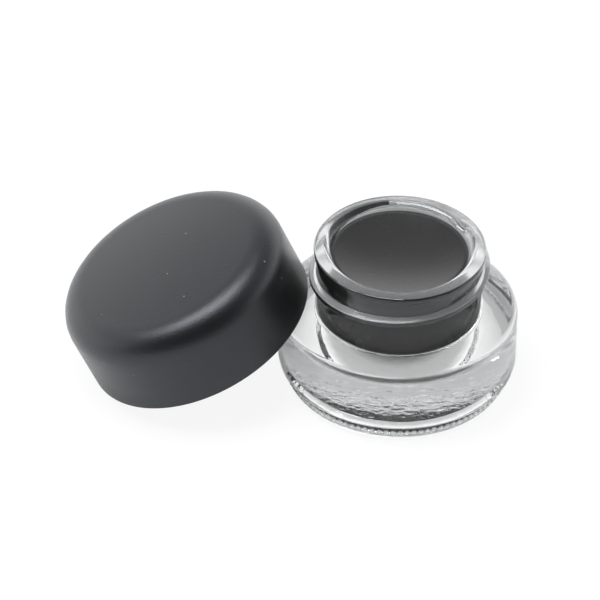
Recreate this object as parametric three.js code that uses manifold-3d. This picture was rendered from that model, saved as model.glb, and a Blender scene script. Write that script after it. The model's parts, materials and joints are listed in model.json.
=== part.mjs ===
// Gel eyeliner pot with its cap off: a thick glass jar with a one-turn screw thread on its neck, the gel in
// its well, and the screw cap tipped against the jar's shoulder. The cap is an outer shell that holds a
// threaded liner, with a loose seal disc trapped behind the liner's thread.
// Millimetres, +Z up. The origin is the middle of the jar's base, and the cap lies on the -X side.

import * as THREE from 'three';
import { mergeVertices } from 'three/addons/utils/BufferGeometryUtils.js';
import Module from 'manifold-3d';

const wasm = await Module();
wasm.setup();

// Glass jar
const BODY_DIAMETER = 38.8;
const BODY_DRAFT = 0.15; // the wall leans in by this much on each side
const BODY_LOWER_CORNER = 0.8;
const HEEL_DIAMETER = 37.2;
const HEEL_CORNER = 0.9;
const KNURL_BOTTOM = 1.2; // a bead runs round the heel
const KNURL_HEIGHT = 1.2;
const KNURL_BULGE = 0.5;
const KNURL_CORNER = 0.45;
const SHOULDER_HEIGHT = 12.9;
const SHOULDER_CORNER = 0.8;
const JAR_HEIGHT = 24.4;
const NECK_DIAMETER = 26.6;
const NECK_FILLET = 0.2;
const LIP_OVERHANG = 0.35;
const LIP_DEPTH = 0.95;
const LIP_OUTER_CORNER = 0.5;
const LIP_INNER_CORNER = 1.3;
const BORE_DIAMETER = 21.7;
const WELL_DEPTH = 13.8;
const WELL_CORNER = 1.5;

// Screw thread, a right-handed ridge
const THREAD_PITCH = 4.1;
const THREAD_SWEEP = 360; // degrees from end to end
const THREAD_START_ANGLE = 42; // degrees from +X
const THREAD_START_DROP = 7.05; // from the lip's top down to the ridge's lower end
const THREAD_HEIGHT = 1.1;
const THREAD_ROOT_WIDTH = 1.6;
const THREAD_CREST_WIDTH = 1.1;
const THREAD_RUN_OUT = 28; // degrees over which each end sinks into its wall
const THREAD_CLEARANCE = 0.3; // between the jar's thread and the liner's

// Gel
const GEL_DROP = 1.1; // from the lip's top down to the gel's edge
const GEL_DISH = 1.3; // depth of the dish in its surface
const GEL_GAP = 0.1;

// Cap shell
const CAP_DIAMETER = 38.45;
const CAP_DRAFT = 0.15;
const CAP_HEIGHT = 13.9; // at the edge of its top
const CAP_CROWN = 0.55; // the top swells by this much in the middle
const CAP_EDGE_CORNER = 4.2;
const CAP_RIM_CORNER = 0.3;
const CAP_WALL = 1.4;
const CAP_TOP_WALL = 1;

// Cap liner
const LINER_WALL = 1.1;
const LINER_TOP_WALL = 0.8;
const LINER_SETBACK = 0.6; // its rim stands this far inside the shell's
const LINER_CORNER = 0.5;
const LINER_RIBS = 8;
const LINER_RIB_WIDTH = 1.2;
const LINER_FIT = 0.25; // between the liner and the shell

// Seal disc
const SEAL_THICKNESS = 0.6;
const SEAL_CORNER = 0.15;
const SEAL_PLAY = 0.3; // between the disc and the liner

// How the cap leans
const LEAN_AZIMUTH = 184.3; // degrees from +X, the way the top of the cap tips
const LEAN_OVERLAP = 4.75; // the raised rim reaches this far in over the jar's shoulder
const LEAN_SIDE_STEP = 3.3; // the raised rim's highest point stands this far towards +Y
const LEAN_GAP = 0.12; // between the rim and the shoulder

// Facets
const TURN_STEPS = 60; // round a full turn
const CORNER_SAG = 0.05; // the most that a facet may cut from a rounded corner
const CROWN_STEPS = 5; // from the middle of a crown or dish to its edge
const WELD_DISTANCE = 1e-4; // corners nearer than this are one

// Sizes that follow from those above
const bodyRadius = BODY_DIAMETER / 2;
const shoulderRadius = bodyRadius - BODY_DRAFT;
const heelRadius = HEEL_DIAMETER / 2;
const knurlTop = KNURL_BOTTOM + KNURL_HEIGHT;
const neckRadius = NECK_DIAMETER / 2;
const lipRadius = neckRadius + LIP_OVERHANG;
const boreRadius = BORE_DIAMETER / 2;
const wellFloor = JAR_HEIGHT - WELL_DEPTH;
const capRadius = CAP_DIAMETER / 2;
const shellBore = capRadius - CAP_WALL;
const shellCeiling = CAP_HEIGHT - CAP_TOP_WALL;
const shellInnerCorner = CAP_EDGE_CORNER - CAP_WALL;
const linerBore = neckRadius + THREAD_HEIGHT + THREAD_CLEARANCE;
const linerRadius = linerBore + LINER_WALL;
const linerCrestRadius = lipRadius + THREAD_CLEARANCE;
const linerTop = shellCeiling - cornerDrop(linerRadius, shellBore - CAP_DRAFT, shellInnerCorner) - LINER_FIT;
const sealTop = linerTop - LINER_TOP_WALL - SEAL_PLAY / 2;
const sealBottom = sealTop - SEAL_THICKNESS;
const closedRimHeight = JAR_HEIGHT - sealBottom; // where the rim stands when the cap is screwed down

/** How far a rounded corner has fallen below its flat at a given radius. */
function cornerDrop(radius, outerRadius, corner) {
  const reach = Math.max(0, radius - (outerRadius - corner));
  return corner - Math.sqrt(Math.max(0, corner ** 2 - reach ** 2));
}

/** An outline through corners [radius, height, rounding], with an arc at each corner that is rounded. */
function outline(corners) {
  const points = corners.map(([radius, height]) => new THREE.Vector2(radius, height));
  return corners.flatMap(([, , rounding = 0], i) => {
    if (!rounding) return [points[i]];
    const before = points[i - 1].clone().sub(points[i]).normalize();
    const after = points[i + 1].clone().sub(points[i]).normalize();
    const half = Math.acos(THREE.MathUtils.clamp(before.dot(after), -1, 1)) / 2;
    const centre = before.clone().add(after).setLength(rounding / Math.sin(half)).add(points[i]);
    const start = before.multiplyScalar(rounding / Math.tan(half)).add(points[i]).sub(centre);
    const end = after.multiplyScalar(rounding / Math.tan(half)).add(points[i]).sub(centre);
    const sweep = Math.atan2(start.cross(end), start.dot(end));
    const steps = Math.ceil(Math.abs(sweep) / (2 * Math.acos(1 - Math.min(1, CORNER_SAG / rounding))));
    return Array.from({ length: steps + 1 }, (_, k) =>
      start.clone().rotateAround(new THREE.Vector2(), (sweep * k) / steps).add(centre));
  });
}

/** The points of a crown or dish from its edge to the axis, without the edge itself. */
function crown(edgeRadius, edgeHeight, swell) {
  return Array.from({ length: CROWN_STEPS }, (_, k) => {
    const radius = edgeRadius * (1 - (k + 1) / CROWN_STEPS);
    return [radius, edgeHeight + swell * (1 - (radius / edgeRadius) ** 2)];
  });
}

/** Turns an outline that starts and ends on the axis, listed from the bottom up round the outside. */
function turned(corners) {
  return new THREE.LatheGeometry(outline(corners), TURN_STEPS).rotateX(Math.PI / 2);
}

/** A closed mesh as a solid that can be joined. */
function solidOf(geometry) {
  const bare = geometry.clone();
  bare.deleteAttribute('normal');
  bare.deleteAttribute('uv');
  const merged = mergeVertices(bare, WELD_DISTANCE);
  const corners = merged.index.array;
  const kept = [];
  for (let i = 0; i < corners.length; i += 3) {
    const [a, b, c] = corners.slice(i, i + 3);
    if (a !== b && b !== c && c !== a) kept.push(a, b, c);
  }
  const vertProperties = new Float32Array(merged.attributes.position.array);
  return new wasm.Manifold(new wasm.Mesh({ numProp: 3, vertProperties, triVerts: new Uint32Array(kept) }));
}

/** Joins overlapping closed meshes into one. */
function joined(geometries) {
  const mesh = geometries.map(solidOf).reduce((whole, piece) => whole.add(piece)).getMesh();
  const geometry = new THREE.BufferGeometry();
  geometry.setAttribute('position', new THREE.BufferAttribute(mesh.vertProperties, 3));
  geometry.setIndex(new THREE.BufferAttribute(mesh.triVerts, 1));
  return geometry;
}

/**
 * A thread ridge on a wall of the given radius, with its foot in the middle of that wall. A positive height
 * stands out from the wall and a negative one stands in from it. The ridge climbs one pitch a turn from
 * startHeight, and both its ends sink into the wall.
 */
function threadRidge(wallRadius, wall, height, startHeight) {
  const sunk = (-Math.sign(height) * wall) / 2;
  const slope = (THREAD_ROOT_WIDTH - THREAD_CREST_WIDTH) / 2 / THREAD_HEIGHT;
  const footWidth = THREAD_ROOT_WIDTH + 2 * slope * Math.abs(sunk);
  const crestWidth = THREAD_ROOT_WIDTH - 2 * slope * Math.abs(height);
  const section = [
    [sunk, -footWidth / 2],
    [height, -crestWidth / 2],
    [height, crestWidth / 2],
    [sunk, footWidth / 2],
  ];
  const steps = Math.ceil((TURN_STEPS * THREAD_SWEEP) / 360);
  const positions = [];
  for (let step = 0; step <= steps; step += 1) {
    const turn = (THREAD_SWEEP * step) / steps;
    const angle = THREE.MathUtils.degToRad(THREAD_START_ANGLE + turn);
    const fromEnd = Math.min(turn, THREAD_SWEEP - turn);
    const rise = THREE.MathUtils.smoothstep(fromEnd, 0, THREAD_RUN_OUT);
    const middle = startHeight + (THREAD_PITCH * turn) / 360;
    for (const [out, up] of section) {
      const radius = wallRadius + (out === sunk ? sunk : THREE.MathUtils.lerp(sunk / 2, height, rise));
      positions.push(radius * Math.cos(angle), radius * Math.sin(angle), middle + up);
    }
  }
  const corners = section.length;
  const faces = [];
  for (let step = 0; step < steps; step += 1) {
    for (let k = 0; k < corners; k += 1) {
      const a = step * corners + k;
      const b = step * corners + ((k + 1) % corners);
      faces.push(a, a + corners, b, b, a + corners, b + corners);
    }
  }
  for (let k = 1; k < corners - 1; k += 1) {
    const last = steps * corners;
    faces.push(0, k, k + 1, last, last + k + 1, last + k);
  }
  if (height < 0) faces.reverse();
  const geometry = new THREE.BufferGeometry();
  geometry.setAttribute('position', new THREE.Float32BufferAttribute(positions, 3));
  geometry.setIndex(faces);
  return geometry;
}

/** The glass: flat base, heel with its bead, straight wall, shoulder, threaded neck and the gel's well. */
function glassJar() {
  const body = turned([
    [0, 0],
    [heelRadius, 0, HEEL_CORNER],
    [heelRadius, KNURL_BOTTOM],
    [heelRadius + KNURL_BULGE, KNURL_BOTTOM, KNURL_CORNER],
    [heelRadius + KNURL_BULGE, knurlTop, KNURL_CORNER],
    [heelRadius, knurlTop],
    [bodyRadius, knurlTop, BODY_LOWER_CORNER],
    [shoulderRadius, SHOULDER_HEIGHT, SHOULDER_CORNER],
    [neckRadius, SHOULDER_HEIGHT, NECK_FILLET],
    [neckRadius, JAR_HEIGHT - LIP_DEPTH - LIP_OVERHANG],
    [lipRadius, JAR_HEIGHT - LIP_DEPTH],
    [lipRadius, JAR_HEIGHT, LIP_OUTER_CORNER],
    [boreRadius, JAR_HEIGHT, LIP_INNER_CORNER],
    [boreRadius, wellFloor, WELL_CORNER],
    [0, wellFloor],
  ]);
  const wall = neckRadius - boreRadius;
  const thread = threadRidge(neckRadius, wall, THREAD_HEIGHT, JAR_HEIGHT - THREAD_START_DROP);
  return joined([body, thread]);
}

/** The gel: fills the well to just under the lip, with a shallow dish in its surface. */
function gelFill() {
  const radius = boreRadius - GEL_GAP;
  const edge = JAR_HEIGHT - GEL_DROP;
  return turned([
    [0, wellFloor + GEL_GAP],
    [radius, wellFloor + GEL_GAP, WELL_CORNER - GEL_GAP],
    [radius, edge],
    ...crown(radius, edge, -GEL_DISH),
  ]);
}

/** The cap's outer shell: a cup, open below, with a deeply rounded edge and a crowned top. */
function capShell() {
  const topRadius = capRadius - CAP_DRAFT;
  return turned([
    [0, shellCeiling],
    [shellBore - CAP_DRAFT, shellCeiling, shellInnerCorner],
    [shellBore, 0, CAP_RIM_CORNER],
    [capRadius, 0, CAP_RIM_CORNER],
    [topRadius, CAP_HEIGHT, CAP_EDGE_CORNER],
    ...crown(topRadius - CAP_EDGE_CORNER, CAP_HEIGHT, CAP_CROWN),
  ]);
}

/** The liner inside the shell: a threaded cup with ribs that wedge it in the shell. */
function capLiner() {
  const cup = turned([
    [0, linerTop - LINER_TOP_WALL],
    [linerBore, linerTop - LINER_TOP_WALL],
    [linerBore, LINER_SETBACK],
    [linerRadius, LINER_SETBACK],
    [linerRadius, linerTop, LINER_CORNER],
    [0, linerTop],
  ]);
  const threadStart = JAR_HEIGHT - THREAD_START_DROP - closedRimHeight - THREAD_PITCH / 2;
  const thread = threadRidge(linerBore, LINER_WALL, linerCrestRadius - linerBore, threadStart);
  const ribInside = linerBore + LINER_WALL / 2;
  const ribOutside = shellBore - CAP_DRAFT - LINER_FIT;
  const ribTop = shellCeiling - shellInnerCorner - LINER_FIT;
  const ribs = Array.from({ length: LINER_RIBS }, (_, i) =>
    new THREE.BoxGeometry(ribOutside - ribInside, LINER_RIB_WIDTH, ribTop - 2 * LINER_SETBACK)
      .translate((ribOutside + ribInside) / 2, 0, ribTop / 2 + LINER_SETBACK)
      .rotateZ((2 * Math.PI * (i + 0.5)) / LINER_RIBS));
  return joined([cup, thread, ...ribs]);
}

/** The loose disc that seals against the jar's lip. */
function sealDisc() {
  const radius = linerBore - SEAL_PLAY;
  return turned([
    [0, sealBottom],
    [radius, sealBottom, SEAL_CORNER],
    [radius, sealTop, SEAL_CORNER],
    [0, sealTop],
  ]);
}

/** The middle of the cap's rim at a given tilt, with the rounded rim's lowest point on the ground. */
function rimCentre(tilt) {
  const reach = capRadius * Math.cos(tilt);
  const azimuth = THREE.MathUtils.degToRad(LEAN_AZIMUTH);
  const raisedX = LEAN_OVERLAP - shoulderRadius;
  return new THREE.Vector3(
    raisedX + reach * Math.cos(azimuth),
    LEAN_SIDE_STEP + reach * Math.sin(azimuth),
    (capRadius - CAP_RIM_CORNER) * Math.sin(tilt) + CAP_RIM_CORNER * (1 - Math.cos(tilt)),
  );
}

/** The turn that tips the cap's axis from upright towards LEAN_AZIMUTH. */
function leanTurn(tilt) {
  const azimuth = THREE.MathUtils.degToRad(LEAN_AZIMUTH);
  const hinge = new THREE.Vector3(-Math.sin(azimuth), Math.cos(azimuth), 0);
  return new THREE.Quaternion().setFromAxisAngle(hinge, tilt);
}

/** The least distance from the tipped rim to the jar's rounded shoulder. */
function rimClearance(tilt) {
  const centre = rimCentre(tilt);
  const turn = leanTurn(tilt);
  let least = Infinity;
  for (const radius of [shellBore + CAP_RIM_CORNER, capRadius - CAP_RIM_CORNER]) {
    for (let degree = 0; degree < 360; degree += 1) {
      const angle = THREE.MathUtils.degToRad(degree);
      const point = new THREE.Vector3(radius * Math.cos(angle), radius * Math.sin(angle), CAP_RIM_CORNER);
      point.applyQuaternion(turn).add(centre);
      const out = Math.hypot(point.x, point.y) - (shoulderRadius - SHOULDER_CORNER);
      const up = point.z - (SHOULDER_HEIGHT - SHOULDER_CORNER);
      const outside = Math.hypot(Math.max(out, 0), Math.max(up, 0));
      const inside = Math.min(Math.max(out, up), 0);
      least = Math.min(least, outside + inside - SHOULDER_CORNER - CAP_RIM_CORNER);
    }
  }
  return least;
}

/** The tilt at which the rim lies LEAN_GAP above the shoulder, found by halving. */
function leanTilt() {
  let low = 0;
  let high = Math.PI / 3;
  for (let i = 0; i < 40; i += 1) {
    const middle = (low + high) / 2;
    if (rimClearance(middle) < LEAN_GAP) low = middle;
    else high = middle;
  }
  return high;
}

/** A named piece with its material. */
function piece(name, geometry, color, roughness, more = {}) {
  const material = new THREE.MeshStandardMaterial({ color, roughness, metalness: 0, ...more });
  const mesh = new THREE.Mesh(geometry, material);
  mesh.name = name;
  return mesh;
}

const pot = new THREE.Group();
pot.add(
  piece('glass_jar', glassJar(), '#dfe3e4', 0.05, { transparent: true, opacity: 0.35 }),
  piece('gel_fill', gelFill(), '#2b2b2c', 0.45),
);

const cap = new THREE.Group();
const tilt = leanTilt();
cap.position.copy(rimCentre(tilt));
cap.quaternion.copy(leanTurn(tilt));
cap.add(
  piece('cap_shell', capShell(), '#26272a', 0.5),
  piece('cap_liner', capLiner(), '#1c1c1e', 0.4),
  piece('seal_disc', sealDisc(), '#e9e8e4', 0.7),
);
pot.add(cap);

export default pot;
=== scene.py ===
# %% [markdown]
# # A gel eyeliner pot with its cap off
#
# The pot is a thick jar of pressed glass, filled with black gel, and its screw cap leans on the jar's
# shoulder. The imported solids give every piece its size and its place. This lesson models each piece again,
# finely enough for a close look, gives it the finish of its real material, and lights it as a small product
# studio would.

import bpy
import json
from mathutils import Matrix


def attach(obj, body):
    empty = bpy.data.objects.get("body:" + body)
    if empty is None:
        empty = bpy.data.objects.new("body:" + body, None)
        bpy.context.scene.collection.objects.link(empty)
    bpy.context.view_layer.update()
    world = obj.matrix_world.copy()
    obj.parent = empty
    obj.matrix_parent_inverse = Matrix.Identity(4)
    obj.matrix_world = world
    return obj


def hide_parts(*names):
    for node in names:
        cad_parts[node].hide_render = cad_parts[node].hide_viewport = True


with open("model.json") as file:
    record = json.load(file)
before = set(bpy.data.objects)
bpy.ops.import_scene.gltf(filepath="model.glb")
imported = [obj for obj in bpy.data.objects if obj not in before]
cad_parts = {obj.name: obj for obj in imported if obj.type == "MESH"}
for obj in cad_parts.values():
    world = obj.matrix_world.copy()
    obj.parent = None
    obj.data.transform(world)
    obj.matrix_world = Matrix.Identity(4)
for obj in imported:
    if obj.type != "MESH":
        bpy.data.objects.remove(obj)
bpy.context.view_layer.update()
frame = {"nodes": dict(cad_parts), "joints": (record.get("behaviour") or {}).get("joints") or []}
print("solids:", ", ".join(sorted(frame["nodes"])))

# %% [markdown]
# ## Outlines to spin
#
# Glass is pressed in a round mould and a cap screws on, so every piece here is round. A round piece could be
# stacked up from circles, but then each size would sit in a ring of its own. Half of the outline, drawn once
# and spun round the axis, keeps all the sizes in one short list, as on a mould maker's drawing. Each corner
# in such a list is a radius and a height in millimetres, and where the corner is rounded, the radius of that
# rounding.

# %% Draw an outline from its corners
import json
from math import atan2, ceil, cos, degrees, hypot, pi, radians, sin, sqrt, tan

import bmesh
import bpy
from mathutils import Matrix, Vector

MM = 0.001
ARC_STEP = 15  # degrees that one facet of a rounded corner turns


def select_where(piece, kind, wanted):
    """In edit mode, selects the piece's vertices, edges or faces whose middle, in mm, is wanted."""
    bpy.ops.mesh.select_mode(type=kind)
    bpy.ops.mesh.select_all(action="DESELECT")
    shape = bmesh.from_edit_mesh(piece.data)
    for part in {"VERT": shape.verts, "EDGE": shape.edges, "FACE": shape.faces}[kind]:
        middle = part.co if kind == "VERT" else sum((v.co for v in part.verts), Vector()) / len(part.verts)
        if wanted(middle / MM):
            part.select_set(True)
    shape.select_flush_mode()
    bmesh.update_edit_mesh(piece.data)


def draw_outline(name, corners):
    """Draws half an outline in the XZ plane, and leaves it in edit mode."""
    bpy.ops.object.select_all(action="DESELECT")
    bpy.ops.mesh.primitive_plane_add(size=MM)
    piece = bpy.context.object
    piece.name = name
    piece.data.name = name
    bpy.ops.object.mode_set(mode="EDIT")
    bpy.ops.mesh.select_mode(type="VERT")
    bpy.ops.mesh.select_all(action="SELECT")
    bpy.ops.mesh.merge(type="CENTER")
    points = [Vector((radius, 0, height)) for radius, height, *_ in corners]
    bpy.ops.transform.translate(value=points[0] * MM)
    for here, there in zip(points, points[1:]):
        bpy.ops.mesh.extrude_vertices_move(TRANSFORM_OT_translate={"value": (there - here) * MM})
    for i, (_, _, *rounding) in enumerate(corners):
        if rounding:
            half = (points[i - 1] - points[i]).angle(points[i + 1] - points[i]) / 2
            select_where(piece, "VERT", lambda place: (place - points[i]).length < 1e-3)
            bpy.ops.mesh.bevel(offset=rounding[0] * MM / tan(half), affect="VERTICES",
                               segments=ceil((180 - degrees(2 * half)) / ARC_STEP))
    return piece


# %% [markdown]
# ## Rows, and the spin
#
# Smooth shading bends the light across a whole face, so a wide flat face beside a rounded corner would look
# curved. Cutting the long edges of the outline into rows keeps that bend next to the corner. Rows also give
# later steps vertices to move, where a thread or a row of beads stands on the surface.

# %% Cut an outline into rows and spin it
def cut_rows(piece, tallest, wanted=lambda place: True):
    """Cuts the wanted edges of an outline into rows of at most tallest mm."""
    long_edges = []
    shape = bmesh.from_edit_mesh(piece.data)
    for edge in shape.edges:
        middle = (edge.verts[0].co + edge.verts[1].co) / 2 / MM
        cuts = ceil(edge.calc_length() / MM / tallest) - 1
        if cuts > 0 and wanted(middle):
            long_edges.append((middle, cuts))
    for middle, cuts in long_edges:
        select_where(piece, "EDGE", lambda place: (place - middle).length < 1e-4)
        bpy.ops.mesh.subdivide(number_cuts=cuts)


def spin_outline(piece, steps):
    """Turns an outline round the Z axis into a closed, smooth piece."""
    bpy.ops.object.mode_set(mode="OBJECT")
    turn = piece.modifiers.new("turn", "SCREW")
    turn.steps = steps
    turn.render_steps = steps
    bpy.ops.object.modifier_apply(modifier="turn")
    bpy.ops.object.mode_set(mode="EDIT")
    bpy.ops.mesh.select_all(action="SELECT")
    bpy.ops.mesh.remove_doubles(threshold=1e-6)
    bpy.ops.mesh.normals_make_consistent(inside=False)
    bpy.ops.object.mode_set(mode="OBJECT")
    bpy.ops.object.shade_smooth()
    width = 2 * max(vertex.co.x for vertex in piece.data.vertices) / MM
    print(f"{piece.name}: {len(piece.data.polygons)} faces, {width:.2f} mm wide")


# %% [markdown]
# ## The glass jar
#
# Light bends at every face of the glass, so the jar has to be one closed skin: base, foot, wall, shoulder,
# neck, lip and the well inside. Pieces of glass laid over each other would show their hidden faces. The base
# is hollowed, as a glass maker does to let a jar stand on a ring, and that hollow shows through the wall as a
# bright band over the beads. The wall stands out over the foot, which leaves the beads their room. They and
# the thread are raised out of this same skin in the next two steps, so the outline already has rows where
# they will stand. The thread's rows lie close together where its ridge turns sharply.

# %% Spin the jar
FOOT = 18.2  # radius under the wall
FOOT_ROUND = 0.4
WALL_FOOT = 19.4  # radius of the wall where it starts, over the foot
WALL_START = 2.65
WALL_TOP = 19.25
SHOULDER = 12.9
HOLLOW = 12.95  # radius of the hollow in the base
HOLLOW_SIDE = 0.7  # how far the hollow's side leans in
HOLLOW_RISE = 1.05
NECK = 13.3
LIP = 13.68
LIP_TOP = 24.4
LIP_DEPTH = 0.95
LIP_SLOPE = 0.35  # height over which the lip runs back into the neck
WELL = 10.85
WELL_FLOOR = 10.6
WELL_ROUND = 1.5
THREAD_FOOT = 17.35  # height of the ridge's lower end
THREAD_ROOT = 0.82  # half of the ridge's width at the neck
THREAD_CREST = 0.4  # and at its crest
THREAD_SOFT = 0.07  # half of what each of its corners is rounded over
BEADS = 104
BEAD_COLUMNS = 6  # of vertices, for each bead
BEAD_ROW = 0.12
NEAR = 0.05  # mm within which a place counts as on a wall

ridge_corners = (-THREAD_ROOT, -THREAD_CREST, THREAD_CREST, THREAD_ROOT)
ridge_rows = [corner + THREAD_SOFT * step / 2 for corner in ridge_corners for step in (-2, -1, 0, 1, 2)]
jar = draw_outline("jar_glass", [
    (0, HOLLOW_RISE), (HOLLOW - HOLLOW_SIDE, HOLLOW_RISE, 0.5), (HOLLOW, 0, 0.4), (FOOT, 0, FOOT_ROUND),
    (FOOT, WALL_START, 0.1), (WALL_FOOT, WALL_START, 0.6), (WALL_TOP, SHOULDER, 1.1), (NECK, SHOULDER, 0.5),
    *[(NECK, THREAD_FOOT + row) for row in ridge_rows],
    (NECK, LIP_TOP - LIP_DEPTH - LIP_SLOPE, 0.1), (LIP, LIP_TOP - LIP_DEPTH, 0.15), (LIP, LIP_TOP, 0.35),
    (WELL, LIP_TOP, 1.3), (WELL, WELL_FLOOR, WELL_ROUND), (0, WELL_FLOOR)])
cut_rows(jar, BEAD_ROW, lambda place: abs(place.x - FOOT) < NEAR and place.z > FOOT_ROUND + NEAR)
cut_rows(jar, tallest=2.4)
spin_outline(jar, steps=BEAD_COLUMNS * BEADS)

# %% [markdown]
# ## The screw thread
#
# One ridge climbs the neck in a single turn and sinks into it at both ends. It could be a separate coil
# joined on with a Boolean, which leaves a hard seam in the glass. Here the glass itself is moved, in two
# steps. Each vertex gets a weight, and a Displace modifier first lifts a level ridge out of the neck by that
# share. A second one then lifts the rows upwards, more the further round they are, so that the level ridge
# becomes a climbing one.

# %% Move a surface by weights
def raise_surface(piece, name, height, share, direction="NORMAL"):
    """Moves the surface out, or along an axis, by a height in mm times the share that each place gives."""
    group = piece.vertex_groups.new(name=name)
    for vertex in piece.data.vertices:
        amount = share(vertex.co / MM)
        if amount > 0:
            group.add([vertex.index], amount, "REPLACE")
    lift = piece.modifiers.new(name, "DISPLACE")
    lift.vertex_group = name
    lift.direction = direction
    lift.strength = height * MM
    lift.mid_level = 0
    bpy.ops.object.modifier_apply(modifier=name)
    print(f"{piece.name}: {name} of {height} mm")


# %% Raise the thread
THREAD_START = 42  # degrees from +X
THREAD_PITCH = 4.1
THREAD_HEIGHT = 1.1
THREAD_RUN_OUT = 28  # degrees over which each end sinks into its wall
CLIMB_LOW = 13.2  # heights on the neck between which the rows climb
CLIMB_HIGH = LIP_TOP - 1.35


def ramp(t, soft):
    """A ramp from 0 to 1 whose two corners are rounded."""
    return (max(0, t + soft) ** 2 - max(0, t - soft) ** 2 - max(0, t - 1 + soft) ** 2
            + max(0, t - 1 - soft) ** 2) / (4 * soft)


def raise_thread(piece, height, foot, low, high, radius):
    """Raises a ridge on a wall of some radius, and lets it climb from height foot, between low and high."""
    def turned(place):
        return (degrees(atan2(place.y, place.x)) - THREAD_START) % 360

    def ridge(place):
        run_out = min(1, turned(place) / THREAD_RUN_OUT, (360 - turned(place)) / THREAD_RUN_OUT)
        on_wall = abs(hypot(place.x, place.y) - radius) < NEAR
        flank = THREAD_ROOT - THREAD_CREST
        rise = ramp((THREAD_ROOT - abs(place.z - foot)) / flank, THREAD_SOFT / flank)
        return on_wall * rise * run_out ** 2 * (3 - 2 * run_out)

    def climb(place):
        on_wall = abs(hypot(place.x, place.y) - radius) < height + NEAR
        half = THREAD_ROOT + THREAD_SOFT
        from_ends = min((place.z - low) / (foot - half - low), (high - place.z) / (high - foot - half))
        return on_wall * turned(place) / 360 * min(1, max(0, from_ends))

    raise_surface(piece, "ridge", height, ridge)
    raise_surface(piece, "climb", THREAD_PITCH, climb, "Z")


raise_thread(jar, THREAD_HEIGHT, THREAD_FOOT, CLIMB_LOW, CLIMB_HIGH, NECK)

# %% [markdown]
# ## The ring of beads
#
# A row of small beads runs round the foot, where it takes the knocks that would scratch a smooth edge. Little
# spheres set into the glass would leave a hidden seam round each. So the foot's own wall is raised again,
# with six columns of vertices to each bead, enough for a dome of just under a millimetre.

# %% Raise the beads
BEAD_MIDDLE = 1.25  # height of the beads' middles
BEAD_BULGE = 0.45
BEAD_ACROSS = 0.43  # half of a bead's width
BEAD_UP = 0.4  # and half of its height


def bead_share(place):
    """A dome at each bead, and nothing between them."""
    if abs(hypot(place.x, place.y) - FOOT) > NEAR:
        return 0
    from_bead = (degrees(atan2(place.y, place.x)) * BEADS / 360 + 0.5) % 1 - 0.5
    across = from_bead * 2 * pi * FOOT / BEADS
    up = place.z - BEAD_MIDDLE
    return sqrt(max(0, 1 - (across / BEAD_ACROSS) ** 2 - (up / BEAD_UP) ** 2))


raise_surface(jar, "beads", BEAD_BULGE, bead_share)

# %% [markdown]
# ## The gel
#
# The gel is poured in hot and shrinks as it sets, so its surface is a shallow dish. Where it wets the glass,
# light inside the wall meets black gel. Where it has shrunk away, a film of air turns the wall into a mirror
# that carries light down from the lip. Gel of just the well's size would share every face with the glass, and
# the renderer couldn't tell which comes first. So it is made a hair wider, which reaches into the glass, and
# is then pushed to the front left, which leaves that film at the back right only.

# %% Spin the gel
GEL_EDGE = LIP_TOP - 1.1
GEL_DISH = 1.3
GEL_GRIP = 0.06  # how far the gel reaches into the glass
GEL_PUSH = 0.08
GEL_SIDE = radians(232)  # the way it is pushed, from +X
BOWL_STEPS = 16


def bowl(edge_radius, edge_height, swell):
    """The corners of a dish or a crown from its edge to the axis."""
    radii = [edge_radius * (1 - step / BOWL_STEPS) for step in range(BOWL_STEPS + 1)]
    return [(radius, edge_height + swell * (1 - (radius / edge_radius) ** 2)) for radius in radii]


gel = draw_outline("gel_dish", [
    (0, WELL_FLOOR - GEL_GRIP), (WELL + GEL_GRIP, WELL_FLOOR - GEL_GRIP, WELL_ROUND),
    *bowl(WELL + GEL_GRIP, GEL_EDGE, -GEL_DISH)])
cut_rows(gel, tallest=1)
spin_outline(gel, steps=224)
bpy.ops.object.mode_set(mode="EDIT")
bpy.ops.mesh.select_all(action="SELECT")
bpy.ops.transform.translate(value=(GEL_PUSH * MM * cos(GEL_SIDE), GEL_PUSH * MM * sin(GEL_SIDE), 0))
bpy.ops.object.mode_set(mode="OBJECT")

# %% [markdown]
# ## The cap's shell
#
# The shell is a moulded cup with a deeply rounded edge and a top that swells a little, so that it doesn't
# look sunk. A cylinder with a bevelled edge would come close, but its top would be flat. In an outline the
# crown can run into the rounding without a kink, which a matte black cap would show as a line in its
# highlight. For that, the corner stands where the crown's last slope meets the wall.

# %% Spin the shell
CAP_RIM = 19.225  # radius of the wall at the rim
CAP_TOP = 19.075  # and at the top
CAP_BORE = 17.825
CAP_BORE_TOP = 17.675
CAP_CEILING = 12.9
CAP_EDGE_ROUND = 4.2
RIM_ROUND = 0.3
CROWN_EDGE = 14.5
CROWN_HEIGHT = 14.45
CROWN_FALL = 0.55 / 14.875 ** 2  # a fall of 0.55 mm at a radius of 14.875 mm

crown_swell = CROWN_FALL * CROWN_EDGE ** 2
crown = bowl(CROWN_EDGE, CROWN_HEIGHT - crown_swell, crown_swell)
crown_corner = crown[0][1] - 2 * CROWN_FALL * CROWN_EDGE * (CAP_TOP - CROWN_EDGE)
shell = draw_outline("cap_outer", [
    (0, CAP_CEILING), (CAP_BORE_TOP, CAP_CEILING, 2.8), (CAP_BORE, 0, RIM_ROUND), (CAP_RIM, 0, RIM_ROUND),
    (CAP_TOP, crown_corner, CAP_EDGE_ROUND), *crown])
cut_rows(shell, tallest=2)
spin_outline(shell, steps=256)

# %% [markdown]
# ## The liner
#
# Inside the shell sits a second cup with the thread that grips the jar, and eight ribs that wedge it in the
# shell. Both could be pieces of their own, but one moulding has no seams. So the ribs are extruded from the
# cup's wall: the faces at each rib are selected by their angle, extruded, and scaled away from the axis. The
# thread is raised inwards, in the same way as on the jar.

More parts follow.
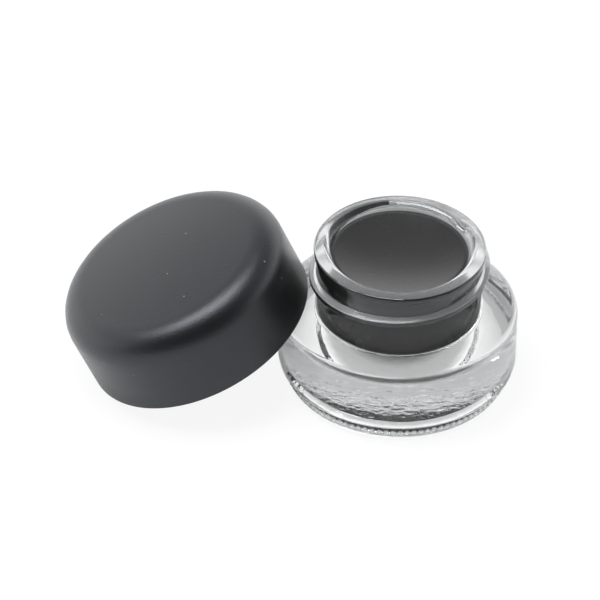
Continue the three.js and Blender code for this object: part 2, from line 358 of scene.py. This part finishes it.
# %% Spin the liner
LINER_BORE = 14.7
LINER_WALL = 15.8
LINER_RIM = 0.6
LINER_TOP = 12.641
LINER_CEILING = LINER_TOP - 0.8
LINER_ROUND = 0.2
LINER_THREAD = 1.84  # height of its thread's lower end
RIB_FOOT = 1.2
RIB_TOP = 9.85

liner = draw_outline("cap_inner", [
    (0, LINER_CEILING), (LINER_BORE, LINER_CEILING, LINER_ROUND),
    *[(LINER_BORE, LINER_THREAD - row) for row in ridge_rows], (LINER_BORE, LINER_RIM, LINER_ROUND),
    (LINER_WALL, LINER_RIM, LINER_ROUND), (LINER_WALL, RIB_FOOT), (LINER_WALL, RIB_TOP),
    (LINER_WALL, LINER_TOP, 0.5), (0, LINER_TOP)])
cut_rows(liner, tallest=2)
spin_outline(liner, steps=360)

# %% Raise the liner's ribs and its thread
RIBS = 8
RIB_HALF = 2.1  # degrees from a rib's middle to its side
RIB_REACH = 17.425
LINER_THREAD_HEIGHT = 0.75


def on_a_rib(middle):
    """Whether a face of the liner's outer wall is the foot of a rib."""
    from_rib = (degrees(atan2(middle.y, middle.x)) * RIBS / 360) % 1 - 0.5
    on_wall = abs(hypot(middle.x, middle.y) - LINER_WALL) < NEAR
    return on_wall and abs(from_rib) * 360 / RIBS < RIB_HALF and RIB_FOOT < middle.z < RIB_TOP


bpy.ops.object.mode_set(mode="EDIT")
select_where(liner, "FACE", on_a_rib)
bpy.ops.mesh.extrude_region_move()
widen = RIB_REACH / LINER_WALL
bpy.ops.transform.resize(value=(widen, widen, 1), center_override=(0, 0, 0))
bpy.ops.object.mode_set(mode="OBJECT")
bpy.ops.object.shade_smooth_by_angle(angle=radians(40))
raise_thread(liner, LINER_THREAD_HEIGHT, LINER_THREAD, LINER_RIM + 0.25, LINER_CEILING - 0.3, LINER_BORE)

# %% [markdown]
# ## The seal disc
#
# A thin disc of foam lies loose at the end of the liner and is what closes the jar. Foam doesn't spring back
# all the way, so the jar's lip has left a shallow ring in it. A flat cylinder would need two insets for that
# ring. In the outline it takes four corners more.

# %% Spin the disc
SEAL = 14.4
SEAL_BOTTOM = 10.94
SEAL_TOP = SEAL_BOTTOM + 0.6
SEAL_ROUND = 0.15
DENT = SEAL_BOTTOM + 0.08
DENT_IN = 11
DENT_OUT = 13.3
DENT_SIDE = 0.4  # how far each side of the dent runs out
DENT_ROUND = 0.2

seal = draw_outline("seal_foam_disc", [
    (0, SEAL_BOTTOM), (DENT_IN - DENT_SIDE, SEAL_BOTTOM, DENT_ROUND), (DENT_IN, DENT, DENT_ROUND),
    (DENT_OUT, DENT, DENT_ROUND), (DENT_OUT + DENT_SIDE, SEAL_BOTTOM, DENT_ROUND),
    (SEAL, SEAL_BOTTOM, SEAL_ROUND), (SEAL, SEAL_TOP, SEAL_ROUND), (0, SEAL_TOP)])
cut_rows(seal, tallest=2)
spin_outline(seal, steps=192)

# %% [markdown]
# ## Lean the cap
#
# The cap's three pieces were spun upright at the origin. Their angle and place could be typed in again, but
# the frame's turning joint stands at the middle of the cap's rim and points along its axis, so it says where
# the cap lies. The turn is applied to the mesh, which leaves each object at the origin as the solids are.

# %% Tilt the cap's pieces into place
turning = next(joint for joint in frame["joints"] if joint["name"] == "cap_turn")
lean = Vector((0, 0, 1)).rotation_difference(Vector(turning["axis"]))
for piece in (shell, liner, seal):
    bpy.ops.object.select_all(action="DESELECT")
    piece.select_set(True)
    bpy.context.view_layer.objects.active = piece
    piece.matrix_world = Matrix.Translation(turning["pos_m"]) @ lean.to_matrix().to_4x4()
    bpy.ops.object.transform_apply(location=True, rotation=True, scale=True)
print(f"the cap leans {degrees(lean.angle):.1f} degrees")

# %% [markdown]
# ## Hand the pieces to the frame
#
# Each fine piece stands for one solid, which it hides, and moves with that solid's body. Each row also
# names one of the record's material slots, which nothing here reads.

# %% Set each piece on its body
for piece, node, body, slot in (
    (jar, "glass_jar", "pot", "clear_glass"),
    (gel, "gel_fill", "pot", "eyeliner_gel"),
    (shell, "cap_shell", "cap", "cap_plastic"),
    (liner, "cap_liner", "cap", "liner_plastic"),
    (seal, "seal_disc", "seal", "seal_foam"),
):
    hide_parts(node)
    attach(piece, body)
    print(f"{piece.name} stands for {node} and rides on {body}")

# %% [markdown]
# ## Nodes and colours
#
# A finish is a small tree of nodes. One function adds a node, sets it up and links what feeds it. Colours are
# written as sRGB hex, as a picture shows them, and turned to the linear values that the renderer works with.

# %% Helpers for the finishes
def linear(colour):
    """An sRGB hex colour as linear RGBA."""
    parts = [int(colour[i:i + 2], 16) / 255 for i in (1, 3, 5)]
    return [c / 12.92 if c <= 0.04045 else ((c + 0.055) / 1.055) ** 2.4 for c in parts] + [1]


def add_node(tree, kind, feeds, **settings):
    """Adds a node with its settings, and feeds its inputs from values or from other nodes' outputs."""
    node = tree.nodes.new(kind)
    for name, value in settings.items():
        setattr(node, name, value)
    for name, value in feeds.items():
        if isinstance(value, bpy.types.NodeSocket):
            tree.links.new(value, node.inputs[name])
        else:
            node.inputs[name].default_value = value
    return node


def new_finish(name, piece):
    """A new material on a piece: its node tree, its shader and the piece's own coordinates."""
    material = bpy.data.materials.new(name)
    material.use_nodes = True
    piece.data.materials.clear()
    piece.data.materials.append(material)
    tree = material.node_tree
    print(f"{piece.name} is finished in {name}")
    return tree, tree.nodes["Principled BSDF"], add_node(tree, "ShaderNodeTexCoord", {}).outputs["Object"]


# %% [markdown]
# ## Pressed flint glass
#
# Clear soda-lime glass has hardly any colour, so what it shows is what stands round it. It loses its polish
# where it is touched: on the lip, the shoulder's edge and the upper side of the thread, and most of all on
# the beads and the foot. There a bloom of fine scratches turns some of the clear glass to white. The bloom
# could be painted on by hand, but each of these places is a range of radii, heights or slopes, so nodes can
# find them. The heaviest wear at a place says how clear and how rough the glass is.

# %% Start the glass
tree, glass, place = new_finish("pressed_flint_glass", jar)
glass.inputs["Base Color"].default_value = linear("#f8f9f9")
glass.inputs["IOR"].default_value = 1.51
height = add_node(tree, "ShaderNodeSeparateXYZ", {0: place}).outputs["Z"]
flat = add_node(tree, "ShaderNodeVectorMath", {0: place, 1: (1, 1, 0)}, operation="MULTIPLY")
out = add_node(tree, "ShaderNodeVectorMath", {0: flat.outputs[0]}, operation="LENGTH").outputs["Value"]
facing = add_node(tree, "ShaderNodeNewGeometry", {}).outputs["Normal"]
upwards = add_node(tree, "ShaderNodeSeparateXYZ", {0: facing}).outputs["Z"]

# %% Find the lip, the shoulder's edge and the thread's upper side
LIP_WORN = (LIP_TOP - 0.03, LIP_TOP - 0.005)  # heights over which the wear sets in
EDGE_WORN = (18, 18.5)  # radii, likewise
EDGE_WORN_UP = (11.4, 12)  # heights
THREAD_WORN = (0.3, 0.7)  # how far a face looks up
THREAD_MIDDLE = 18.5  # height of the middle of the thread's part of the neck
THREAD_HALF = 4.5  # and half of that part's height
THREAD_BLOOM = 1.5  # how heavy the bloom is, where the lip's is 1

lip = add_node(tree, "ShaderNodeMapRange", {
    "Value": height, "From Min": LIP_WORN[0] * MM, "From Max": LIP_WORN[1] * MM})
edge = add_node(tree, "ShaderNodeMapRange", {
    "Value": out, "From Min": EDGE_WORN[0] * MM, "From Max": EDGE_WORN[1] * MM})
upper = add_node(tree, "ShaderNodeMapRange", {
    "Value": height, "From Min": EDGE_WORN_UP[0] * MM, "From Max": EDGE_WORN_UP[1] * MM})
level = add_node(tree, "ShaderNodeMapRange", {
    "Value": upwards, "From Min": THREAD_WORN[0], "From Max": THREAD_WORN[1], "To Max": THREAD_BLOOM})
on_neck = add_node(tree, "ShaderNodeMath", {0: height, 1: THREAD_MIDDLE * MM, 2: THREAD_HALF * MM},
                   operation="COMPARE")
print(f"the shoulder is worn from a radius of {EDGE_WORN[0]} mm")

# %% Find the beads and the foot
BEADS_WORN = (FOOT + 0.05, FOOT + 0.3)  # radii
BEADS_BLOOM = 9
FOOT_WORN = (16.4, 16.8)  # radii
FOOT_WORN_TO = 0.85  # height up to which the foot is worn
FOOT_BLOOM = 4

proud = add_node(tree, "ShaderNodeMapRange", {
    "Value": out, "From Min": BEADS_WORN[0] * MM, "From Max": BEADS_WORN[1] * MM, "To Max": BEADS_BLOOM})
under_wall = add_node(tree, "ShaderNodeMath", {0: height, 1: (WALL_START - 0.01) * MM}, operation="LESS_THAN")
rim = add_node(tree, "ShaderNodeMapRange", {
    "Value": out, "From Min": FOOT_WORN[0] * MM, "From Max": FOOT_WORN[1] * MM, "To Max": FOOT_BLOOM})
ground = add_node(tree, "ShaderNodeMath", {0: height, 1: FOOT_WORN_TO * MM}, operation="LESS_THAN")
print(f"the foot is worn up to {FOOT_WORN_TO} mm")

# %% Wear the glass
BLOOM = 0.1  # share of the light that a bloom of 1 scatters
POLISHED = 0.015  # roughness of clean glass
SCRATCHED = 0.2  # and of worn glass

wear = lip
for mask, limit in ((edge, upper), (proud, under_wall), (rim, ground), (level, on_neck)):
    worn = add_node(tree, "ShaderNodeMath", {0: mask.outputs[0], 1: limit.outputs[0]}, operation="MULTIPLY")
    wear = add_node(tree, "ShaderNodeMath", {0: wear.outputs[0], 1: worn.outputs[0]}, operation="MAXIMUM")
clear = add_node(tree, "ShaderNodeMapRange", {"Value": wear.outputs[0], "To Min": 1, "To Max": 1 - BLOOM},
                 clamp=False)
tree.links.new(clear.outputs[0], glass.inputs["Transmission Weight"])
scratches = add_node(tree, "ShaderNodeMapRange", {
    "Value": wear.outputs[0], "To Min": POLISHED, "To Max": SCRATCHED})
tree.links.new(scratches.outputs[0], glass.inputs["Roughness"])
print(f"the bloom scatters {BLOOM:.0%} of the light on the lip, {BLOOM * BEADS_BLOOM:.0%} on the beads")

# %% [markdown]
# ## The rippled hollow
#
# The plunger and the mould leave the wall smooth, but the hollow under the base sets against cooler iron and
# stays rippled. Seen through the wall at a low angle, those ripples break the light into long streaks, like
# wind on water. They could be modelled, but they are finer than the facets of the mesh there. So they are a
# bump, and a mask keeps it inside the hollow.

# %% Ripple the hollow
RIPPLE = 1.4
RIPPLE_DEPTH = 0.13

inside = add_node(tree, "ShaderNodeMath", {0: out, 1: HOLLOW * MM}, operation="LESS_THAN")
below = add_node(tree, "ShaderNodeMath", {0: height, 1: (HOLLOW_RISE + NEAR) * MM}, operation="LESS_THAN")
hollow = add_node(tree, "ShaderNodeMath", {0: inside.outputs[0], 1: below.outputs[0]}, operation="MULTIPLY")
ripples = add_node(tree, "ShaderNodeTexNoise", {"Vector": place, "Scale": 1 / (RIPPLE * MM), "Detail": 2})
bump = add_node(tree, "ShaderNodeBump", {
    "Height": ripples.outputs[0], "Strength": hollow.outputs[0], "Distance": RIPPLE_DEPTH * MM})
tree.links.new(bump.outputs[0], glass.inputs["Normal"])
print(f"the hollow has ripples of {RIPPLE} mm")

# %% [markdown]
# ## Set gel
#
# The gel is wax, oil and black pigment. Its skin is smooth but not polished, so it takes a wide soft sheen
# where the dish turns towards the light behind it, and the pigment shows as a fine grain. One roughness all
# over would look like lacquer, so a broad swirl, as from pouring, varies it.

# %% Finish the gel
GEL_GRAIN = 0.25  # much coarser than real pigment, which would be too fine to show
GEL_GRAIN_DEPTH = 0.01
GEL_SWIRL = 6

tree, surface, place = new_finish("set_black_gel", gel)
surface.inputs["Specular IOR Level"].default_value = 0.42
grain = add_node(tree, "ShaderNodeTexNoise", {"Vector": place, "Scale": 1 / (GEL_GRAIN * MM), "Detail": 3})
shade = add_node(tree, "ShaderNodeValToRGB", {"Fac": grain.outputs[0]})
shade.color_ramp.elements[0].color = linear("#1c1b1b")
shade.color_ramp.elements[1].color = linear("#262525")
tree.links.new(shade.outputs[0], surface.inputs["Base Color"])
swirl = add_node(tree, "ShaderNodeTexNoise", {"Vector": place, "Scale": 1 / (GEL_SWIRL * MM), "Detail": 2})
sheen = add_node(tree, "ShaderNodeMapRange", {"Value": swirl.outputs[0], "To Min": 0.22, "To Max": 0.32})
tree.links.new(sheen.outputs[0], surface.inputs["Roughness"])
bump = add_node(tree, "ShaderNodeBump", {
    "Height": grain.outputs[0], "Strength": 0.2, "Distance": GEL_GRAIN_DEPTH * MM})
tree.links.new(bump.outputs[0], surface.inputs["Normal"])

# %% [markdown]
# ## Spark-textured black plastic
#
# The shell is black polypropylene from a mould with a fine spark-eroded skin. The skin spreads the light into
# soft patches, and lends the cap a faint sheen where it turns away. High roughness alone would give the soft
# patches, but no grain in a close look, so a noise drives both the roughness and a bump. Here and there the
# skin holds a speck of dust. Each cell of the dust pattern has a chance shade of its own, and only cells with
# a pale one get a speck.

# %% Finish the shell
SKIN = 0.3  # coarser than the real pits, which would be too fine to show
SKIN_DEPTH = 0.05
DUST_SPACING = 2.2
DUST_SHADE = 0.7  # a cell has to be paler than this to get a speck

tree, surface, place = new_finish("spark_textured_polypropylene", shell)
surface.inputs["Specular Tint"].default_value = linear("#f8f9ff")
surface.inputs["Sheen Weight"].default_value = 0.09
surface.inputs["Sheen Roughness"].default_value = 0.4
dust = add_node(tree, "ShaderNodeTexVoronoi", {"Vector": place, "Scale": 1 / (DUST_SPACING * MM)})
near = add_node(tree, "ShaderNodeMapRange", {
    "Value": dust.outputs["Distance"], "From Min": 0.03, "From Max": 0.07, "To Min": 1, "To Max": 0})
few = add_node(tree, "ShaderNodeMath", {0: dust.outputs["Color"], 1: DUST_SHADE}, operation="GREATER_THAN")
speck = add_node(tree, "ShaderNodeMath", {0: near.outputs[0], 1: few.outputs[0]}, operation="MULTIPLY")
shade = add_node(tree, "ShaderNodeValToRGB", {"Fac": speck.outputs[0]})
shade.color_ramp.elements[0].color = linear("#101113")
shade.color_ramp.elements[1].color = linear("#8c8c8c")
tree.links.new(shade.outputs[0], surface.inputs["Base Color"])
skin = add_node(tree, "ShaderNodeTexNoise", {"Vector": place, "Scale": 1 / (SKIN * MM), "Detail": 4})
sheen = add_node(tree, "ShaderNodeMapRange", {"Value": skin.outputs[0], "To Min": 0.3, "To Max": 0.42})
tree.links.new(sheen.outputs[0], surface.inputs["Roughness"])
bump = add_node(tree, "ShaderNodeBump", {
    "Height": skin.outputs[0], "Strength": 0.8, "Distance": SKIN_DEPTH * MM})
tree.links.new(bump.outputs[0], surface.inputs["Normal"])

# %% [markdown]
# ## Moulded plastic and foam
#
# The liner is the same plastic from a smoother mould, so it is glossier, with faint flow marks. These change
# only how it shines, so a noise drives the roughness alone. The disc is white foam, and its cut cells leave a
# fine dimpled face. Noise would give it lumps, so a pattern of cells gives it both its shade and its depth.

# %% Finish the liner and the disc
FLOW_MARK = 3
FOAM_CELL = 0.3  # coarser than the real cells, which would be too fine to show
FOAM_DEPTH = 0.05

tree, surface, place = new_finish("moulded_polypropylene", liner)
flow = add_node(tree, "ShaderNodeTexNoise", {"Vector": place, "Scale": 1 / (FLOW_MARK * MM), "Detail": 2})
sheen = add_node(tree, "ShaderNodeMapRange", {"Value": flow.outputs[0], "To Min": 0.25, "To Max": 0.4})
tree.links.new(sheen.outputs[0], surface.inputs["Roughness"])
surface.inputs["Base Color"].default_value = linear("#151516")

tree, surface, place = new_finish("polyethylene_foam", seal)
cells = add_node(tree, "ShaderNodeTexVoronoi", {"Vector": place, "Scale": 1 / (FOAM_CELL * MM)})
shade = add_node(tree, "ShaderNodeValToRGB", {"Fac": cells.outputs["Distance"]})
shade.color_ramp.elements[0].color = linear("#efeeea")
shade.color_ramp.elements[1].color = linear("#dcdad4")
tree.links.new(shade.outputs[0], surface.inputs["Base Color"])
surface.inputs["Roughness"].default_value = 0.8
bump = add_node(tree, "ShaderNodeBump", {
    "Height": cells.outputs["Distance"], "Strength": 0.6, "Distance": FOAM_DEPTH * MM})
tree.links.new(bump.outputs[0], surface.inputs["Normal"])

# %% [markdown]
# ## The floor
#
# The pot stands on white paper. Plain paper would show grey under a light that suits black plastic, so to the
# camera it is mostly an even glow, which keeps a faint shadow. What the glass shows of it is another matter:
# the jar shades the paper that it stands on, and gathers light on it in a ring, as a lens does. A path tracer
# finds such rings only slowly, so the ring is painted. A ramp over the distance from the jar's axis says how
# light the paper is to a ray that comes through the glass. The floor lies a hair under the base: glass that
# touched it would lose the mirror in its base.

# %% Lay the floor
FLOOR_SIZE = 4  # metres
FLOOR_GAP = 0.1
FLOOR_GLOW = 0.9  # share of the glow in what the camera sees

bpy.ops.object.select_all(action="DESELECT")
bpy.ops.mesh.primitive_plane_add(size=FLOOR_SIZE, location=(0, 0, -FLOOR_GAP * MM))
floor = bpy.context.object
floor.name = "studio_floor"
tree, paper, place = new_finish("white_paper", floor)
paper.inputs["Base Color"].default_value = linear("#f6f6f6")
paper.inputs["Roughness"].default_value = 0.9
rays = add_node(tree, "ShaderNodeLightPath", {})
to_camera = add_node(tree, "ShaderNodeMath", {0: rays.outputs["Is Camera Ray"], 1: FLOOR_GLOW},
                     operation="MULTIPLY")
glow = add_node(tree, "ShaderNodeEmission", {"Color": (1, 1, 1, 1), "Strength": 1})
lit = add_node(tree, "ShaderNodeMixShader", {
    0: to_camera.outputs[0], 1: paper.outputs[0], 2: glow.outputs[0]})

# %% Paint the ring that the glass shows
RING_SHARE = 0.9  # share of the ring in what the glass shows
RING_REACH = 40
RING = (  # mm from the jar's axis, and how light the paper is there
    (5, 0.23), (8, 0.58), (10.5, 0.64), (12, 1.18), (16, 0.78), (20, 0.3), (36, 0.22))

from_axis = add_node(tree, "ShaderNodeVectorMath", {0: place}, operation="LENGTH").outputs["Value"]
reach = add_node(tree, "ShaderNodeMapRange", {"Value": from_axis, "From Max": RING_REACH * MM})
ring = add_node(tree, "ShaderNodeValToRGB", {"Fac": reach.outputs[0]})
for radius, light in RING:
    ring.color_ramp.elements.new(radius / RING_REACH).color = (light, light, light, 1)
ring.color_ramp.elements.remove(ring.color_ramp.elements[0])
ring.color_ramp.elements.remove(ring.color_ramp.elements[-1])
painted = add_node(tree, "ShaderNodeEmission", {"Color": ring.outputs[0], "Strength": 1})
in_glass = add_node(tree, "ShaderNodeMath", {0: rays.outputs["Is Transmission Ray"], 1: RING_SHARE},
                    operation="MULTIPLY")
floor_seen = add_node(tree, "ShaderNodeMixShader", {
    0: in_glass.outputs[0], 1: lit.outputs[0], 2: painted.outputs[0]})
tree.links.new(floor_seen.outputs[0], tree.nodes["Material Output"].inputs["Surface"])
print(f"the ring is lightest {max(RING, key=lambda stop: stop[1])[0]} mm from the axis")

# %% [markdown]
# ## The studio
#
# The studio is white round the horizon and darkens overhead and behind the camera, which is what gives clear
# glass its dark edges and the cap its gradient. It could be built from white cards and black flags, but a
# world that shades by direction does the same with no parts at all. Seen through the thick wall, so bright a
# horizon would wash the glass out. So rays that come through the glass meet a studio of their own, with a
# dimmer horizon. The camera itself sees plain white.

# %% Shade the studio
HORIZON = 1.9  # light of the horizon on the pot
CEILING = (0.28, 0.29, 0.3, 1)  # share of it that is left overhead
CEILING_RISE = (0.25, 0.65)  # how far up a ray points where the darkening starts and ends
BACK = 0.1  # share that is left behind the camera
BACK_TURN = (-0.1, -0.6)  # how far back a ray points, likewise

scene = bpy.context.scene
scene.world = bpy.data.worlds.new("white_studio")
scene.world.use_nodes = True
tree = scene.world.node_tree
way = add_node(tree, "ShaderNodeTexCoord", {}).outputs["Generated"]
parts = add_node(tree, "ShaderNodeSeparateXYZ", {0: way})
behind = add_node(tree, "ShaderNodeMapRange", {
    "Value": parts.outputs["Y"], "From Min": BACK_TURN[0], "From Max": BACK_TURN[1],
    "To Min": 1, "To Max": BACK}, interpolation_type="SMOOTHSTEP")
above = add_node(tree, "ShaderNodeValToRGB", {"Fac": parts.outputs["Z"]})
above.color_ramp.interpolation = "EASE"
for stop, rise, colour in zip(above.color_ramp.elements, CEILING_RISE, ((1, 1, 1, 1), CEILING)):
    stop.position = rise
    stop.color = colour
around = add_node(tree, "ShaderNodeMath", {0: behind.outputs[0], 1: HORIZON}, operation="MULTIPLY")
studio = tree.nodes["Background"]
tree.links.new(above.outputs[0], studio.inputs["Color"])
tree.links.new(around.outputs[0], studio.inputs["Strength"])
print(f"{scene.world.name}: {HORIZON} round the horizon, {HORIZON * CEILING[0]:.2f} overhead")

# %% Dim it for the glass, and hide it from the camera
GLASS_HORIZON = 1.3  # light of the horizon, seen through glass
GLASS_CEILING = 0.52  # and of the ceiling
GLASS_RISE = (0.2, 0.5)  # how far up a ray points where one gives way to the other

flatter = add_node(tree, "ShaderNodeMapRange", {
    "Value": parts.outputs["Z"], "From Min": GLASS_RISE[0], "From Max": GLASS_RISE[1],
    "To Min": GLASS_HORIZON, "To Max": GLASS_CEILING})
dimmer = add_node(tree, "ShaderNodeMath", {0: behind.outputs[0], 1: flatter.outputs[0]}, operation="MULTIPLY")
veiled = add_node(tree, "ShaderNodeBackground", {
    "Color": (0.98, 0.99, 1, 1), "Strength": dimmer.outputs[0]})
plain = add_node(tree, "ShaderNodeBackground", {"Color": (1, 1, 1, 1), "Strength": 1})
world_rays = add_node(tree, "ShaderNodeLightPath", {})
through = add_node(tree, "ShaderNodeMixShader", {
    0: world_rays.outputs["Is Transmission Ray"], 1: studio.outputs[0], 2: veiled.outputs[0]})
world_seen = add_node(tree, "ShaderNodeMixShader", {
    0: world_rays.outputs["Is Camera Ray"], 1: through.outputs[0], 2: plain.outputs[0]})
tree.links.new(world_seen.outputs[0], tree.nodes["World Output"].inputs["Surface"])
scene.view_settings.view_transform = "Standard"
print(f"through glass: {GLASS_HORIZON} round the horizon, {GLASS_CEILING} overhead")

# %% [markdown]
# ## The softbox
#
# One long softbox, overhead and to the left, draws the streak on the cap's front edge and the thin bright
# lines on the lip and the thread. A small lamp would draw a dot there. How far the softbox reaches to each
# side sets where the streak begins and ends.

# %% Hang the softbox
SOFTBOX_PLACE = (-0.24, 0.02, 0.6)  # metres
SOFTBOX_WIDTH = 0.54
SOFTBOX_DEPTH = 0.3

bpy.ops.object.light_add(type="AREA", location=SOFTBOX_PLACE)
softbox = bpy.context.object
softbox.name = "softbox"
softbox.data.shape = "RECTANGLE"
softbox.data.size = SOFTBOX_WIDTH
softbox.data.size_y = SOFTBOX_DEPTH
softbox.data.energy = 4.8
softbox.data.color = (0.96, 0.98, 1)
print(f"{softbox.name}: {SOFTBOX_WIDTH} by {SOFTBOX_DEPTH} m, {softbox.data.energy:.1f} W")

# %% [markdown]
# ## The camera
#
# A long lens, as for any small product, looks down at the pair from well above. A short one would have to
# stand so close that the jar and the cap looked lopsided. Light crosses many faces of clear glass before it
# leaves, so the renderer is allowed more bounces than usual.

# %% Set up the camera
AIM = Vector((-15.828, 0, 13.45))
DISTANCE = 388.31
ELEVATION = radians(38.877)

bpy.ops.object.camera_add()
camera = bpy.context.object
camera.location = AIM * MM + DISTANCE * MM * Vector((0, -cos(ELEVATION), sin(ELEVATION)))
camera.rotation_euler = (pi / 2 - ELEVATION, 0, 0)
camera.data.lens = 144.75
camera.data.sensor_width = 36
camera.data.clip_start = 0.01
scene.camera = camera
scene.cycles.max_bounces = 32
scene.cycles.transmission_bounces = 24
scene.cycles.glossy_bounces = 16
print(f"the camera stands {DISTANCE:.0f} mm away, {degrees(ELEVATION):.0f} degrees up")
